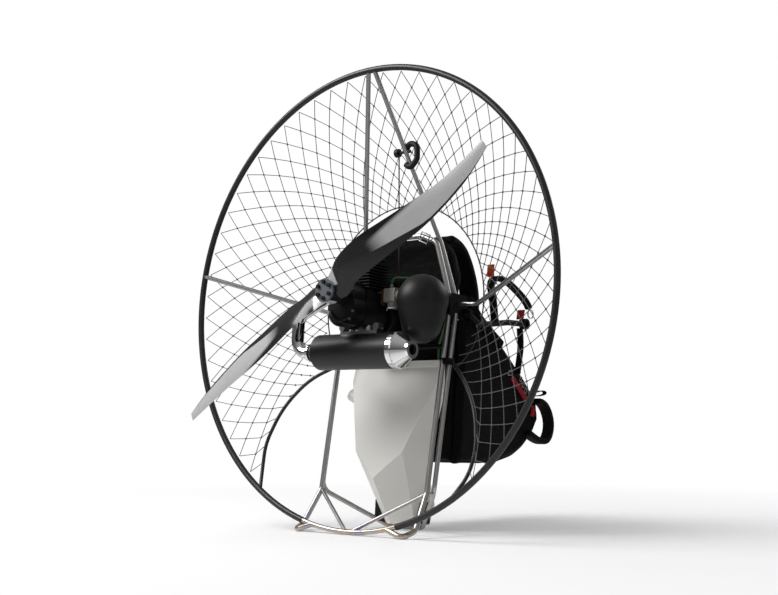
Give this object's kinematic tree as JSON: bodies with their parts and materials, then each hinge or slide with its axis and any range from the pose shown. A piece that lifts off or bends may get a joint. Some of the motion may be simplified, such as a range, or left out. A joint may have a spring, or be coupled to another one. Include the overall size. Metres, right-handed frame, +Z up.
{
  "type": "paramotor",
  "caption": "Foot-launched powered-paraglider backpack: round netted guard hoop on a tube frame, pusher propeller, small engine, tank and soft harness.",
  "frame": {"origin": "on the floor, under the centre of the bounding box", "axes": "+X to the right seen from behind (propeller side), +Y forward to the pilot, +Z up"},
  "size_m": [1.3988, 0.9019, 1.3947],
  "materials": {
    "hoop_paint": "charcoal powder coat",
    "titanium": "satin titanium tube",
    "black_paint": "black satin paint",
    "net_cord": "braided cord",
    "carbon": "clear-coated carbon laminate",
    "alloy": "machined alloy",
    "bolt_black": "blackened steel",
    "engine_black": "black engine paint",
    "rubber": "moulded rubber",
    "airbox_plastic": "moulded black plastic",
    "chrome_pipe": "polished steel pipe",
    "silencer_shell": "satin black coating",
    "polished_cap": "polished spun alloy",
    "tank_plastic": "moulded plastic, warm white",
    "spacer_brown": "brown insulating laminate",
    "starter_rope": "braided rope",
    "harness_fabric": "woven harness cloth",
    "webbing": "woven webbing",
    "hose_green": "fuel hose"
  },
  "bodies": {
    "machine": {"hoop_upper_right": "hoop_paint", "hoop_upper_left": "hoop_paint", "hoop_lower_right": "hoop_paint", "hoop_lower_left": "hoop_paint", "hoop_base": "titanium", "frame_arch": "titanium", "foot_legs": "titanium", "cross_bars": "titanium", "front_tubes": "titanium", "base_rail": "titanium", "base_braces": "titanium", "arm_clamps": "black_paint", "side_arms": "titanium", "top_arms": "titanium", "net_loops": "hoop_paint", "loop_clips": "black_paint", "net_ring": "net_cord", "net_cords_left_lay": "net_cord", "net_cords_right_lay": "net_cord", "reduction_drive": "engine_black", "crankcase": "engine_black", "cylinder": "engine_black", "cylinder_head": "engine_black", "starter_housing": "engine_black", "engine_plate": "engine_black", "rubber_mounts": "rubber", "airbox": "airbox_plastic", "intake_spacer": "spacer_brown", "carburettor": "alloy", "fuel_line": "hose_green", "exhaust_header": "chrome_pipe", "silencer": "silencer_shell", "silencer_cap": "polished_cap", "silencer_posts": "alloy", "silencer_bracket": "alloy", "fuel_tank": "tank_plastic", "tank_cap": "airbox_plastic", "tank_clips": "rubber", "starter_cord": "starter_rope", "starter_pulley": "black_paint", "starter_handle": "rubber", "back_panel": "harness_fabric", "seat": "harness_fabric", "shoulder_straps": "harness_fabric", "leg_straps": "webbing"},
    "propeller": {"propeller": "carbon", "hub_plate": "alloy", "hub_bolts": "bolt_black", "drive_flange": "bolt_black"},
    "swing_arm_right": {"swing_arm_right": "black_paint", "hang_strap_right": "webbing", "hang_ring_right": "alloy"},
    "swing_arm_left": {"swing_arm_left": "black_paint", "hang_strap_left": "webbing", "hang_ring_left": "alloy"}
  },
  "joints": [
    {"name": "propeller_spin", "type": "hinge", "parent": "machine", "child": "propeller", "pos_m": [0, -0.41466, 0.70273], "axis": [0, 0.9973, -0.0738], "continuous": true},
    {"name": "swing_arm_right_pivot", "type": "hinge", "parent": "machine", "child": "swing_arm_right", "pos_m": [0.229, -0.03278, 0.64637], "axis": [1, 0, 0], "range_deg": [0, 35]},
    {"name": "swing_arm_left_pivot", "type": "hinge", "parent": "machine", "child": "swing_arm_left", "pos_m": [-0.229, -0.03278, 0.64637], "axis": [1, 0, 0], "range_deg": [0, 35]}
  ]
}
